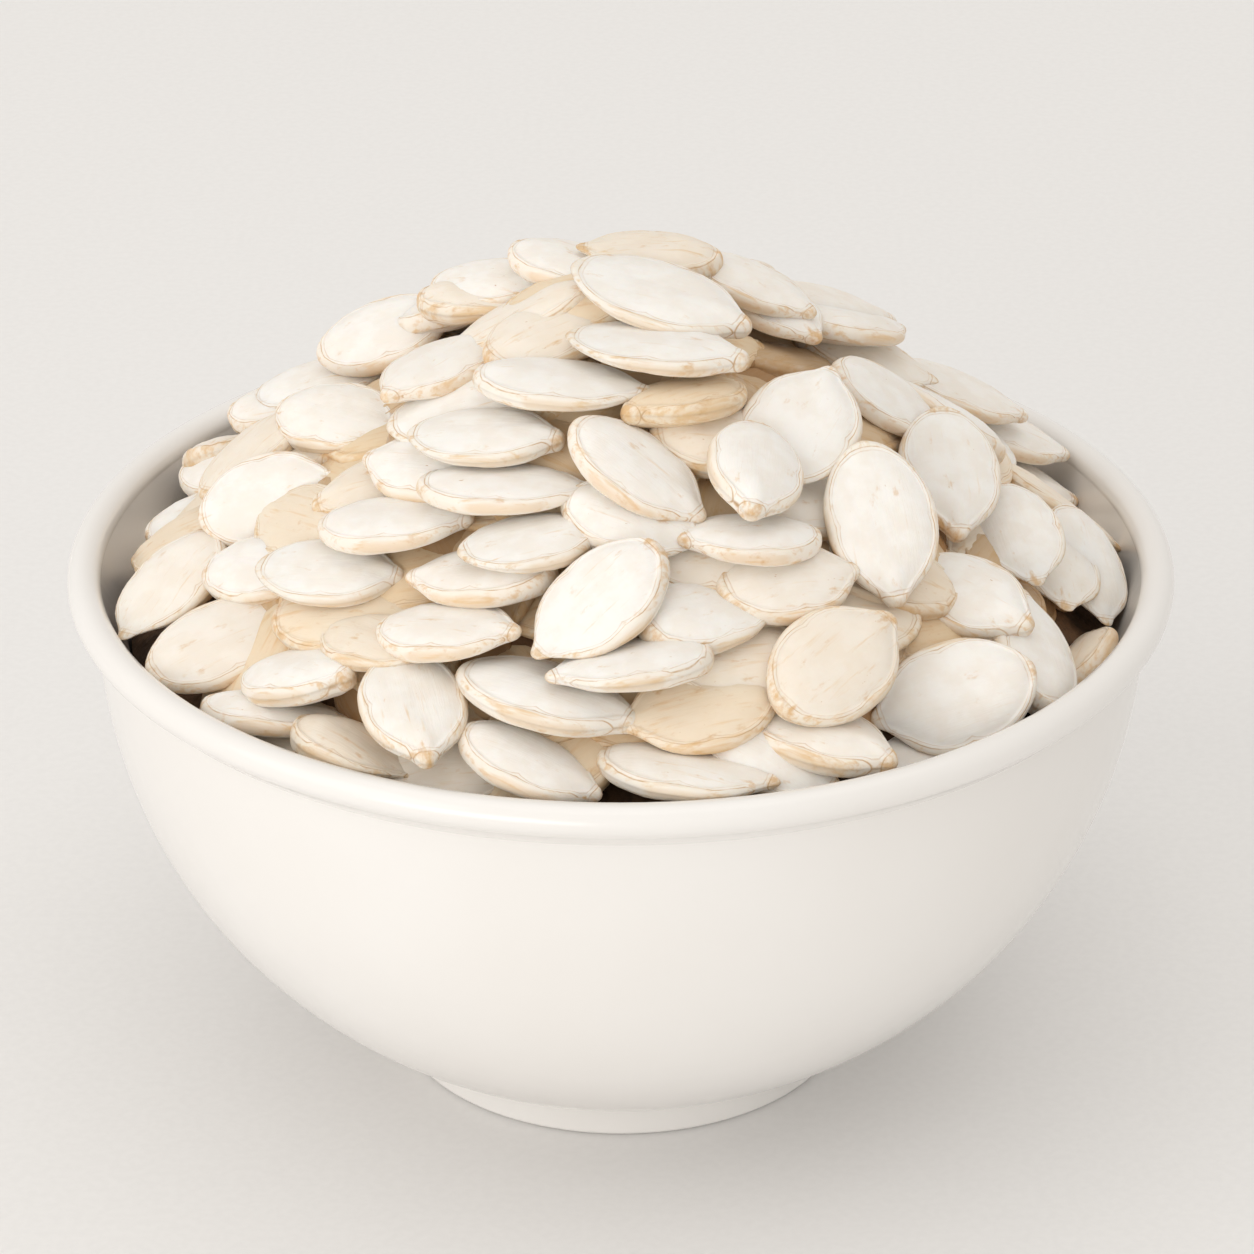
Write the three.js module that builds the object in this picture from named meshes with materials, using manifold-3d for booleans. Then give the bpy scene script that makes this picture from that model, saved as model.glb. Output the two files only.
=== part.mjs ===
// A small glazed bowl heaped with whole pumpkin seeds in their white shells.
// Millimetres, +Z up. The origin is the middle of the foot, on the surface the bowl stands on.
// The bowl is one turned body: a foot ring, a deep rounded wall and a rolled lip.
// The seeds are one body: a core that fills the bowl and stands up in a mound, with a coat of
// overlapping seeds grown into it, laid ring by ring from the wall to the top.

import * as THREE from "three";
import { mergeVertices } from "three/addons/utils/BufferGeometryUtils.js";
import Module from "manifold-3d";

// Bowl
const LIP_RADIUS = 62.5; // outside of the rolled lip
const LIP_ROLL = 1.9; // radius of the roll's own round section
const LIP_CENTRE_HEIGHT = 60.5;
const WALL = 3.3;
const WALL_RADIUS = 59.6; // outside, at its widest, just under the lip
const WALL_TOP_HEIGHT = 60; // where the wall stands upright
const WALL_CLOSED_HEIGHT = -2.5; // where its curve would close on the axis, hidden by the foot
const WALL_CURVE_OUT = 1.88; // exponents of the curve, 2 and 2 would be an ellipse
const WALL_CURVE_DOWN = 2.25;
const NECK_HEIGHT = 57; // where the lip leaves the wall outside
const FLARE_HEIGHT = 55; // where the inside starts to flare into the lip
const FOOT_RADIUS = 26.3;
const FOOT_TOP_RADIUS = 27.2;
const FOOT_HEIGHT = 4.4;
const FOOT_ROUND = 0.6;
const FOOT_RING_WIDTH = 4.2;
const FOOT_RECESS = 2.2;
const FLOOR_JOIN_HEIGHT = 9; // where the inside wall runs into the floor
const FLOOR_HEIGHT = 5.6;
const FLOOR_DISH_POWER = 4;
const FLOOR_RINGS = [0.75, 0.45, 0]; // as shares of the radius where the floor begins
const BOWL_SIDES = 60;
const OUTSIDE_STEPS = 9;
const INSIDE_STEPS = 6;
const LIP_STEPS = 7;
const LIP_START = -60; // degrees round the roll, from the neck outside to the flare inside
const LIP_END = 190;

// Heap
const GAP = 0.35; // between the seeds and the glaze
const HEAP_RADIUS = 55.8;
const HEAP_EDGE_HEIGHT = 53.4; // the bare core at the wall
const HEAP_RISE = 40.6; // from there to the core's top
const HEAP_SLOPE_POWER = 1.5;
const CORE_SIDES = 24;
const CORE_RINGS = 7;
const SMALLEST_DETAIL = 0.3; // slivers where seeds cross are dropped below this

// One seed
const SEED_LENGTH = 19.2;
const SEED_WIDTH = 12.6;
const SEED_THICKNESS = 3.9;
const SEED_EDGE = 1.5; // thickness of the band round its outline
const SEED_SIDES = 8;
const SEED_TIP_NARROWING = 0.2;
const SEED_RIDGE = 0.24; // half the length of the flat crest, as a share of the seed's

// How the seeds lie
const RING_STEP = 9; // between rings, along the slope
const SEED_STEP = 13.2; // between neighbours round a ring
const FIRST_RING = 6.6; // from the wall, along the slope
const SEED_LIFT = 2.6; // middle of a seed above the bare core
const LIFT_VARIES = 1.2;
const BEARING_VARIES = 0.2; // share of the step to the next seed in the ring
const RING_VARIES = 0.25; // share of the step to the next ring
const SIZE_VARIES = 0.13;
const TILT_VARIES = THREE.MathUtils.degToRad(21);
const TOP_TILT_SHARE = 0.5; // seeds near the top lie flatter
const RANDOM_SEED = 20442;

const SEED_COLOUR = "#efe6d8";
const SEED_ROUGHNESS = 0.6;
const BOWL_COLOUR = "#f4f1ec";
const BOWL_ROUGHNESS = 0.22;

const UP = new THREE.Vector3(0, 0, 1);

const wasm = await Module();
wasm.setup();

// A point on the outside of the wall, by the angle that sweeps its curve from top to axis.
function wallPoint(angle) {
  return new THREE.Vector2(
    WALL_RADIUS * Math.cos(angle) ** (2 / WALL_CURVE_OUT),
    WALL_TOP_HEIGHT - (WALL_TOP_HEIGHT - WALL_CLOSED_HEIGHT) * Math.sin(angle) ** (2 / WALL_CURVE_DOWN),
  );
}
function wallAngle(height) {
  const down = (WALL_TOP_HEIGHT - height) / (WALL_TOP_HEIGHT - WALL_CLOSED_HEIGHT);
  return Math.asin(down ** (WALL_CURVE_DOWN / 2));
}

// The wall's curve between two heights, moved inwards along its normal.
function wallCurve(fromHeight, toHeight, inwards, steps) {
  const points = [];
  const nudge = 1e-3;
  for (let i = 0; i <= steps; i++) {
    const angle = THREE.MathUtils.lerp(wallAngle(fromHeight), wallAngle(toHeight), i / steps);
    const along = wallPoint(angle + nudge).sub(wallPoint(angle - nudge));
    const outwards = new THREE.Vector2(-along.y, along.x).normalize();
    points.push(wallPoint(angle).addScaledVector(outwards, -inwards));
  }
  return points;
}

// Points on a round arc about a centre, between two angles in degrees.
function arc(centreRadius, centreHeight, radius, fromDegrees, toDegrees, steps) {
  const points = [];
  for (let i = 0; i <= steps; i++) {
    const angle = THREE.MathUtils.degToRad(THREE.MathUtils.lerp(fromDegrees, toDegrees, i / steps));
    points.push(
      new THREE.Vector2(centreRadius + radius * Math.cos(angle), centreHeight + radius * Math.sin(angle)),
    );
  }
  return points;
}

// The inside of the bowl from the flare down to the middle of the floor.
function insideCurve(clearance) {
  const wall = wallCurve(FLARE_HEIGHT, FLOOR_JOIN_HEIGHT - WALL, WALL + clearance, INSIDE_STEPS);
  const join = wall.at(-1);
  const middle = FLOOR_HEIGHT + clearance;
  const floor = FLOOR_RINGS.map(
    (share) => new THREE.Vector2(join.x * share, middle + (join.y - middle) * share ** FLOOR_DISH_POWER),
  );
  return [...wall, ...floor];
}

// A profile of (radius, height) points turned about the Z axis.
function turned(profile, sides) {
  const geometry = new THREE.LatheGeometry(profile, sides);
  geometry.rotateX(Math.PI / 2);
  geometry.deleteAttribute("normal");
  geometry.deleteAttribute("uv");
  return mergeVertices(geometry, 1e-4);
}

function bowlGeometry() {
  const ringInside = FOOT_RADIUS - FOOT_RING_WIDTH;
  const lipCentre = LIP_RADIUS - LIP_ROLL;
  return turned(
    [
      new THREE.Vector2(0, FOOT_RECESS),
      new THREE.Vector2(ringInside - FOOT_RECESS / 2, FOOT_RECESS),
      new THREE.Vector2(ringInside, 0),
      ...arc(FOOT_RADIUS - FOOT_ROUND, FOOT_ROUND, FOOT_ROUND, -90, 0, 2),
      new THREE.Vector2(FOOT_TOP_RADIUS, FOOT_HEIGHT),
      ...wallCurve(FOOT_HEIGHT + FOOT_ROUND, NECK_HEIGHT, 0, OUTSIDE_STEPS),
      ...arc(lipCentre, LIP_CENTRE_HEIGHT, LIP_ROLL, LIP_START, LIP_END, LIP_STEPS),
      ...insideCurve(0),
    ],
    BOWL_SIDES,
  );
}

// Height and outward slope of the bare mound at a distance from the axis.
function moundHeight(radius) {
  return HEAP_EDGE_HEIGHT + HEAP_RISE * (1 - (radius / HEAP_RADIUS) ** HEAP_SLOPE_POWER);
}
function moundSlope(radius) {
  return (-HEAP_RISE * HEAP_SLOPE_POWER * (radius / HEAP_RADIUS) ** (HEAP_SLOPE_POWER - 1)) / HEAP_RADIUS;
}

// The core: the bowl's inside with a gap, closed above by the mound.
function coreGeometry() {
  const lower = insideCurve(GAP).reverse();
  const upper = [];
  for (let i = 0; i <= CORE_RINGS; i++) {
    const radius = HEAP_RADIUS * (1 - i / CORE_RINGS);
    upper.push(new THREE.Vector2(radius, moundHeight(radius)));
  }
  return turned([...lower, ...upper], CORE_SIDES);
}

// A repeatable stream of numbers from 0 to 1.
function randomStream(state) {
  return () => {
    state = (state + 0x6d2b79f5) | 0;
    let mixed = Math.imul(state ^ (state >>> 15), 1 | state);
    mixed = (mixed + Math.imul(mixed ^ (mixed >>> 7), 61 | mixed)) ^ mixed;
    return ((mixed ^ (mixed >>> 14)) >>> 0) / 4294967296;
  };
}

// One seed lying flat, its tip towards +X: a pointed oval with a squared band round
// its edge and a low crest along each face.
function seedGeometry() {
  const outline = [];
  for (let i = 0; i < SEED_SIDES; i++) {
    const angle = (i / SEED_SIDES) * 2 * Math.PI;
    const narrowing = 1 - SEED_TIP_NARROWING * Math.cos(angle);
    outline.push([(SEED_LENGTH / 2) * Math.cos(angle), (SEED_WIDTH / 2) * Math.sin(angle) * narrowing]);
  }
  const vertices = [];
  for (const side of [1, -1]) {
    for (const [x, y] of outline) vertices.push(x, y, (side * SEED_EDGE) / 2);
    vertices.push(SEED_LENGTH * SEED_RIDGE, 0, (side * SEED_THICKNESS) / 2);
    vertices.push(-SEED_LENGTH * SEED_RIDGE, 0, (side * SEED_THICKNESS) / 2);
  }
  const perFace = SEED_SIDES + 2;
  const front = SEED_SIDES;
  const back = SEED_SIDES + 1;
  const halfway = 0.1; // a point at the middle of the length belongs to the back
  const nearestCrest = (i) => (outline[i % SEED_SIDES][0] > halfway ? front : back);
  const faces = [];
  for (let i = 0; i < SEED_SIDES; i++) {
    const j = (i + 1) % SEED_SIDES;
    const here = nearestCrest(i);
    const next = nearestCrest(j);
    faces.push([i, j, here]);
    if (here !== next) faces.push([j, next, here]);
    faces.push([i + perFace, j, i], [i + perFace, j + perFace, j]);
  }
  const upper = faces.filter((f) => Math.max(...f) < perFace);
  const lower = upper.map(([a, b, c]) => [a + perFace, c + perFace, b + perFace]);
  return new THREE.BufferGeometry()
    .setAttribute("position", new THREE.Float32BufferAttribute(vertices, 3))
    .setIndex([...faces, ...lower].flat());
}

// Where every seed of the coat lies: one matrix each, ring by ring up the mound.
function seedPlaces() {
  const random = randomStream(RANDOM_SEED);
  const spread = (amount) => (2 * random() - 1) * amount;
  const places = [];
  const slopeLength = Math.hypot(HEAP_RADIUS, HEAP_RISE);
  for (let along = FIRST_RING; along < slopeLength; along += RING_STEP) {
    const ringRadius = HEAP_RADIUS * (1 - along / slopeLength);
    const count = Math.max(1, Math.round((2 * Math.PI * ringRadius) / SEED_STEP));
    const start = random() * 2 * Math.PI;
    for (let i = 0; i < count; i++) {
      const size = 1 + spread(SIZE_VARIES);
      const bearing = start + ((i + spread(BEARING_VARIES)) / count) * 2 * Math.PI;
      const radius = ringRadius + spread(RING_STEP * RING_VARIES);
      const steepness = Math.atan(moundSlope(Math.max(radius, 0)));
      const tiltRange = TILT_VARIES * THREE.MathUtils.lerp(TOP_TILT_SHARE, 1, ringRadius / HEAP_RADIUS);
      const lean = -Math.sin(steepness + spread(tiltRange));
      const normal = new THREE.Vector3(lean, spread(Math.sin(tiltRange)), 1);
      normal.applyAxisAngle(UP, bearing).normalize();
      const turn = new THREE.Quaternion()
        .setFromUnitVectors(UP, normal)
        .multiply(new THREE.Quaternion().setFromAxisAngle(UP, random() * 2 * Math.PI));
      const middle = new THREE.Vector3(radius * Math.cos(bearing), radius * Math.sin(bearing), 0);
      middle.z = moundHeight(Math.abs(radius)) + SEED_LIFT + spread(LIFT_VARIES);
      places.push(new THREE.Matrix4().compose(middle, turn, new THREE.Vector3(size, size, size)));
    }
  }
  return places;
}

// The inside's radius at a height, with a clearance to the glaze.
function insideRadius(height, clearance) {
  const narrowest = new THREE.Vector2(LIP_RADIUS - 2 * LIP_ROLL - clearance, LIP_CENTRE_HEIGHT);
  const curve = [narrowest, ...insideCurve(clearance)];
  const below = curve.findIndex((point) => point.y < height);
  if (below === 0) return curve[0].x;
  const share = (height - curve[below].y) / (curve[below - 1].y - curve[below].y);
  return THREE.MathUtils.lerp(curve[below].x, curve[below - 1].x, share);
}

// Moves a placed seed towards the axis until none of it reaches the glaze or the lip.
function keptClear(seed, place) {
  const point = new THREE.Vector3();
  const positions = seed.getAttribute("position");
  let reach = 0;
  for (let i = 0; i < positions.count; i++) {
    point.fromBufferAttribute(positions, i).applyMatrix4(place);
    reach = Math.max(reach, Math.hypot(point.x, point.y) - insideRadius(point.z, 2 * GAP));
  }
  const outwards = new THREE.Vector3().setFromMatrixPosition(place).setZ(0).normalize();
  return place.clone().premultiply(new THREE.Matrix4().makeTranslation(outwards.multiplyScalar(-reach)));
}

// A closed geometry as a solid that can be joined.
function solid(geometry) {
  const positions = geometry.getAttribute("position");
  return new wasm.Manifold(
    new wasm.Mesh({
      numProp: 3,
      vertProperties: new Float32Array(positions.array),
      triVerts: new Uint32Array(geometry.index.array),
    }),
  );
}

// The core and its coat as one closed body, without loose scraps or sealed hollows.
function heapGeometry() {
  const seed = seedGeometry();
  const seeds = seedPlaces().map((place) => solid(seed.clone().applyMatrix4(keptClear(seed, place))));
  const joined = wasm.Manifold.union([solid(coreGeometry()), ...seeds]).simplify(SMALLEST_DETAIL);
  const largest = joined.decompose().reduce((a, b) => (b.volume() > a.volume() ? b : a));
  const mesh = largest.getMesh();
  return new THREE.BufferGeometry()
    .setAttribute("position", new THREE.BufferAttribute(mesh.vertProperties, 3))
    .setIndex(new THREE.BufferAttribute(mesh.triVerts, 1));
}

function named(name, geometry, color, roughness) {
  const material = new THREE.MeshStandardMaterial({ color, roughness, metalness: 0 });
  const mesh = new THREE.Mesh(geometry, material);
  mesh.name = name;
  return mesh;
}

const part = new THREE.Group();
part.add(
  named("bowl", bowlGeometry(), BOWL_COLOUR, BOWL_ROUGHNESS),
  named("seeds", heapGeometry(), SEED_COLOUR, SEED_ROUGHNESS),
);

export default part;
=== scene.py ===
# A small glazed bowl heaped with whole pumpkin seeds in their pale shells, dressed around the
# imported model. Metres, +Z up, the viewer on the -Y side.
#
# The bowl is spun from the model's profile with a fine surface. The heap is a dark core under
# single seeds. A few kinds of seed are modelled once each, and once more with fewer faces for the
# seeds underneath. Every seed is a copy of one of them, let down until it lies on the seeds under
# it: first three coats laid by a rule, then the seeds that show, where the view shows them, and
# then three more coats by a rule over the far side.

import math
import random
from collections import namedtuple

import bmesh
import bpy
from mathutils import Matrix, Vector
from mathutils.bvhtree import BVHTree


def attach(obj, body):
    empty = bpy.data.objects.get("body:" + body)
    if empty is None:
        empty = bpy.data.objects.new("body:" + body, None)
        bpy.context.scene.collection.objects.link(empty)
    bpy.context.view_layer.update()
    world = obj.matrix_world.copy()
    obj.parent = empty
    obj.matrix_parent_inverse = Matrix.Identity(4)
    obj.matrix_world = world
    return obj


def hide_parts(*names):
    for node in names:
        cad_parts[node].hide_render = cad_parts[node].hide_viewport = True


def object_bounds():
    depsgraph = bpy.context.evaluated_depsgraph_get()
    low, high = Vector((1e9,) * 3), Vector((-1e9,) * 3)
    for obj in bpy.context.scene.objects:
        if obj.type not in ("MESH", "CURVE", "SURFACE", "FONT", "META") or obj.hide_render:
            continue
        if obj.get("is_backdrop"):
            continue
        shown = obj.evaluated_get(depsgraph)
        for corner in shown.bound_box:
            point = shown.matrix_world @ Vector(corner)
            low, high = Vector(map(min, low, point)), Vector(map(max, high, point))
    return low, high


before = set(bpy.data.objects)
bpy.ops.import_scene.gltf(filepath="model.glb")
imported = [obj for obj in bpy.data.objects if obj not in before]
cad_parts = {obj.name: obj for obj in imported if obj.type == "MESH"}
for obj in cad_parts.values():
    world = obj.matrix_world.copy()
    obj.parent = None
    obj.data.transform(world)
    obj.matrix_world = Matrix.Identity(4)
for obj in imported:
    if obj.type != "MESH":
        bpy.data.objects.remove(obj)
model_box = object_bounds()

MM = 0.001
ORIGIN = Vector((0, 0, 0))
UP = Vector((0, 0, 1))

# The view. The photograph is square, and its pixels are counted from the top left corner.
PHOTO_SIDE = 1254
SENSOR = 36  # mm
VIEW_DISTANCE = 600 * MM
VIEW_ELEVATION = math.radians(27.15)
VIEW_TARGET = Vector((0.7, 0, 51.9)) * MM
PIXELS_ACROSS_A_RADIAN = 5257

MERGE_DISTANCE = 0.005 * MM
SMOOTH_ANGLE = math.radians(40)

# The bowl, in millimetres, as in the model
LIP_RADIUS = 62.5
LIP_ROLL = 1.9
LIP_CENTRE_HEIGHT = 60.5
LIP_START = -62  # degrees, where the roll leaves the wall's outside
LIP_END = 192  # degrees, where it meets the wall's inside
WALL = 3.3
WALL_RADIUS = 59.6
WALL_TOP_HEIGHT = 60
WALL_CLOSED_HEIGHT = -2.5
WALL_CURVE_OUT = 1.88
WALL_CURVE_DOWN = 2.25
NECK_HEIGHT = 57
FLARE_HEIGHT = 55
FOOT_RADIUS = 26.3
FOOT_TOP_RADIUS = 27.2
FOOT_HEIGHT = 4.4
FOOT_SHOULDER_IN = 0.3
FOOT_SHOULDER_DROP = 0.8
FOOT_EDGE_DROP = 0.2
FOOT_JOIN_RISE = 0.5
FOOT_ROUND = 0.8
FOOT_RING_WIDTH = 4.2
FOOT_RECESS = 2.2
FLOOR_JOIN_HEIGHT = 9
FLOOR_HEIGHT = 5.6
FLOOR_FLATNESS = 4
SPIN_STEPS = 144

# The heap, in millimetres: the height of its outline over the bowl's axis and at the wall
HEAP_RADIUS = 57
HEAP_EDGE_HEIGHT = 62.6
HEAP_RISE = 36.8
HEAP_SLOPE_POWER = 1.47
CORE_DEPTH = 11  # from the outline down to the bare core
CORE_GAP = 0.4  # between the core and the glaze
CORE_EDGE_SHARE = 0.96
CORE_EDGE_DROP = 1.5
WALL_CLEARANCE = 0.3  # between a seed and the glaze

# One seed, in millimetres
SEED_LENGTH = 19.2
SEED_THICKNESS = 3.9
SEED_ASPECT = 0.66  # width to length

RANDOM_SEED = 71


# ---------------- helpers

def deselect_all():
    if bpy.context.object and bpy.context.object.mode != "OBJECT":
        bpy.ops.object.mode_set(mode="OBJECT")
    bpy.ops.object.select_all(action="DESELECT")


def select_points(wanted):
    """In edit mode, selects the points whose place passes the test, and no others."""
    mesh = bmesh.from_edit_mesh(bpy.context.object.data)
    mesh.select_mode = {"VERT"}
    for point in mesh.verts:
        point.select = wanted(point.co)
    mesh.select_flush_mode()
    bmesh.update_edit_mesh(bpy.context.object.data)


def select_faces(wanted):
    """In edit mode, selects the faces that pass the test, and no others."""
    mesh = bmesh.from_edit_mesh(bpy.context.object.data)
    bpy.ops.mesh.select_mode(type="FACE")
    for face in mesh.faces:
        face.select = wanted(face)
    mesh.select_flush_mode()
    bmesh.update_edit_mesh(bpy.context.object.data)


def applied(piece, kind, name, **settings):
    """Adds a modifier with these settings and applies it."""
    modifier = piece.modifiers.new(name, kind)
    for setting, value in settings.items():
        setattr(modifier, setting, value)
    bpy.context.view_layer.objects.active = piece
    bpy.ops.object.modifier_apply(modifier=modifier.name)


def arc(centre, radius, start, end, steps):
    """(radius, height) points on a round arc, between two angles in degrees."""
    angles = [math.radians(start + (end - start) * i / steps) for i in range(steps + 1)]
    return [(centre[0] + radius * math.cos(a), centre[1] + radius * math.sin(a)) for a in angles]


def spun(name, profile):
    """A body turned about Z from (radius, height) points in millimetres, from axis to axis."""
    deselect_all()
    bpy.ops.mesh.primitive_plane_add(size=MM)
    body = bpy.context.object
    body.name = body.data.name = name
    bpy.ops.object.mode_set(mode="EDIT")
    bpy.ops.mesh.select_all(action="SELECT")
    bpy.ops.mesh.merge(type="CENTER")
    places = [Vector((radius, 0, height)) * MM for radius, height in profile]
    bpy.ops.transform.translate(value=places[0])
    for here, there in zip(places, places[1:]):
        bpy.ops.mesh.extrude_vertices_move(TRANSFORM_OT_translate={"value": there - here})
    bpy.ops.mesh.select_all(action="SELECT")
    bpy.ops.mesh.spin(steps=SPIN_STEPS, angle=2 * math.pi, center=ORIGIN, axis=UP)
    bpy.ops.mesh.select_all(action="SELECT")
    bpy.ops.mesh.remove_doubles(threshold=MERGE_DISTANCE)
    bpy.ops.mesh.normals_make_consistent(inside=False)
    bpy.ops.object.mode_set(mode="OBJECT")
    bpy.ops.object.shade_smooth_by_angle(angle=SMOOTH_ANGLE)
    return body


# ---------------- the bowl

def wall_point(angle):
    out = WALL_RADIUS * math.cos(angle) ** (2 / WALL_CURVE_OUT)
    drop = (WALL_TOP_HEIGHT - WALL_CLOSED_HEIGHT) * math.sin(angle) ** (2 / WALL_CURVE_DOWN)
    return Vector((out, WALL_TOP_HEIGHT - drop))


def wall_angle(height):
    down = (WALL_TOP_HEIGHT - height) / (WALL_TOP_HEIGHT - WALL_CLOSED_HEIGHT)
    return math.asin(down ** (WALL_CURVE_DOWN / 2))


def wall_curve(low, high, inwards, steps):
    """The wall's curve between two heights, moved inwards along its normal."""
    points = []
    nudge = 1e-3
    for i in range(steps + 1):
        angle = wall_angle(low) + (wall_angle(high) - wall_angle(low)) * i / steps
        along = wall_point(angle + nudge) - wall_point(angle - nudge)
        outwards = Vector((-along.y, along.x)).normalized()
        points.append(tuple(wall_point(angle) - outwards * inwards))
    return points


def inside_curve(clearance, top=FLARE_HEIGHT):
    """The inside of the bowl from the flare under the lip down to the middle of the floor."""
    wall = wall_curve(top, FLOOR_JOIN_HEIGHT - WALL, WALL + clearance, steps=30)
    join_radius, join_height = wall[-1]
    middle = FLOOR_HEIGHT + clearance
    steps = 8
    floor = []
    for i in range(1, steps + 1):
        share = 1 - i / steps
        rise = (join_height - middle) * share**FLOOR_FLATNESS
        floor.append((join_radius * share, middle + rise))
    return wall + floor


def build_bowl():
    ring_inside = FOOT_RADIUS - FOOT_RING_WIDTH
    lip_centre = LIP_RADIUS - LIP_ROLL
    profile = [
        (0, FOOT_RECESS),
        (ring_inside - FOOT_RECESS / 2, FOOT_RECESS),
        *arc((ring_inside + FOOT_ROUND / 2, FOOT_ROUND / 2), FOOT_ROUND / 2, 200, 270, steps=4),
        *arc((FOOT_RADIUS - FOOT_ROUND, FOOT_ROUND), FOOT_ROUND, -90, 0, steps=6),
        (FOOT_TOP_RADIUS - FOOT_SHOULDER_IN, FOOT_HEIGHT - FOOT_SHOULDER_DROP),
        (FOOT_TOP_RADIUS, FOOT_HEIGHT - FOOT_EDGE_DROP),
        *wall_curve(FOOT_HEIGHT + FOOT_JOIN_RISE, NECK_HEIGHT, inwards=0, steps=48),
        *arc((lip_centre, LIP_CENTRE_HEIGHT), LIP_ROLL, LIP_START, LIP_END, steps=28),
        *inside_curve(0),
    ]
    bowl = spun("bowl_glazed", profile)
    bowl.data.materials.append(glaze_material())
    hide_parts("bowl")
    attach(bowl, "root")


# ---------------- materials

GLAZE_GREYER = (0.825, 0.80, 0.77)
GLAZE_LIGHTER = (0.845, 0.825, 0.80)

# The colours of a seed's shell, from its face to its stains. The browning of the face and the brown
# at the edge are partly painted shade, and the deep brown is painted shade
FACE_CREAM = (0.855, 0.81, 0.75)
FACE_PALE = (0.89, 0.865, 0.825)
FACE_TAN_AND_SHADE = (0.78, 0.61, 0.40)
RIM_CREAM = (0.86, 0.77, 0.65)
EDGE_BROWN_AND_SHADE = (0.72, 0.50, 0.28)
STREAK_BROWN = (0.74, 0.52, 0.29)
PATCH_BROWN = (0.66, 0.42, 0.20)
LINE_BROWN = (0.56, 0.36, 0.19)
MARK_BROWN = (0.52, 0.31, 0.15)
PAINTED_DEEP_SHADE = (0.30, 0.15, 0.055)

SHADE_DARK = (0.06, 0.03, 0.012)
SHADE_BROWN = (0.16, 0.085, 0.04)
FLOOR_LIGHTER = (0.83, 0.82, 0.81)
FLOOR_DARKER = (0.81, 0.80, 0.79)


class Surface:
    """A material and the nodes that make it. Most methods add a node and return its output."""

    def __init__(self, name):
        self.material = bpy.data.materials.new(name)
        self.material.use_nodes = True
        self.nodes = self.material.node_tree.nodes
        self.links = self.material.node_tree.links
        self.shader = next(n for n in self.nodes if n.type == "BSDF_PRINCIPLED")

    def feed(self, socket, value):
        """Links a socket to a node's output, or gives it a plain value."""
        if isinstance(value, bpy.types.NodeSocket):
            self.links.new(value, socket)
        else:
            socket.default_value = value

    def put(self, name, value):
        """Sets one property of the surface, such as its roughness."""
        self.feed(self.shader.inputs[name], value)

    def node(self, kind, **values):
        """Adds a node and feeds its inputs, each named with _ for a space."""
        node = self.nodes.new("ShaderNode" + kind)
        for name, value in values.items():
            self.feed(node.inputs[name.replace("_", " ")], value)
        return node

    def place(self):
        return self.node("TexCoord").outputs["Object"]

    def attribute(self, name, output):
        node = self.node("Attribute")
        node.attribute_name = name
        return node.outputs[output]

    def noise(self, vector, scale, detail=4, roughness=0.55):
        values = {"Vector": vector, "Scale": scale, "Detail": detail, "Roughness": roughness}
        return self.node("TexNoise", **values).outputs["Fac"]

    def mapped(self, value, low, high, to_low=0.0, to_high=1.0, smooth=True):
        """Maps a value from one range to another, held at its ends."""
        ends = {"From_Min": low, "From_Max": high, "To_Min": to_low, "To_Max": to_high}
        mapping = self.node("MapRange", Value=value, **ends)
        mapping.interpolation_type = "SMOOTHSTEP" if smooth else "LINEAR"
        return mapping.outputs["Result"]

    def calculated(self, operation, first, second):
        node = self.node("Math")
        node.operation = operation
        self.feed(node.inputs[0], first)
        self.feed(node.inputs[1], second)
        return node.outputs["Value"]

    def total(self, first, second):
        return self.calculated("ADD", first, second)

    def product(self, first, second):
        return self.calculated("MULTIPLY", first, second)

    def mixed(self, share, first, second):
        """Mixes two colours, each an output or a plain colour."""
        mix = self.node("Mix")
        mix.data_type = "RGBA"
        colour_sockets = [s for s in mix.inputs if s.type == "RGBA"]
        for socket, value in zip(colour_sockets, (first, second)):
            self.feed(socket, (*value, 1) if isinstance(value, tuple) else value)
        share_socket = next(s for s in mix.inputs if s.name == "Factor" and s.type == "VALUE")
        self.feed(share_socket, share)
        return next(s for s in mix.outputs if s.type == "RGBA")

    def bump(self, height, distance, strength, under=None):
        bump = self.node("Bump", Height=height, Distance=distance, Strength=strength)
        if under:
            self.feed(bump.inputs["Normal"], under)
        return bump.outputs["Normal"]


def glaze_material():
    """Warm white glaze: glossy, with a faint mottle and a barely uneven surface."""
    glaze = Surface("bowl_glaze")
    place = glaze.place()
    mottle = glaze.mapped(glaze.noise(place, 25, detail=2), 0.3, 0.7)
    glaze.put("Base Color", glaze.mixed(mottle, GLAZE_GREYER, GLAZE_LIGHTER))
    gloss_marks = glaze.noise(place, 90, detail=2)
    glaze.put("Roughness", glaze.mapped(gloss_marks, 0.3, 0.7, 0.2, 0.25))
    waves = glaze.noise(place, 30, detail=1)
    glaze.put("Normal", glaze.bump(waves, distance=0.4 * MM, strength=0.1))
    glaze.put("Specular IOR Level", 0.5)
    glaze.put("Coat Weight", 0.35)
    glaze.put("Coat Roughness", 0.1)
    return glaze.material


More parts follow.
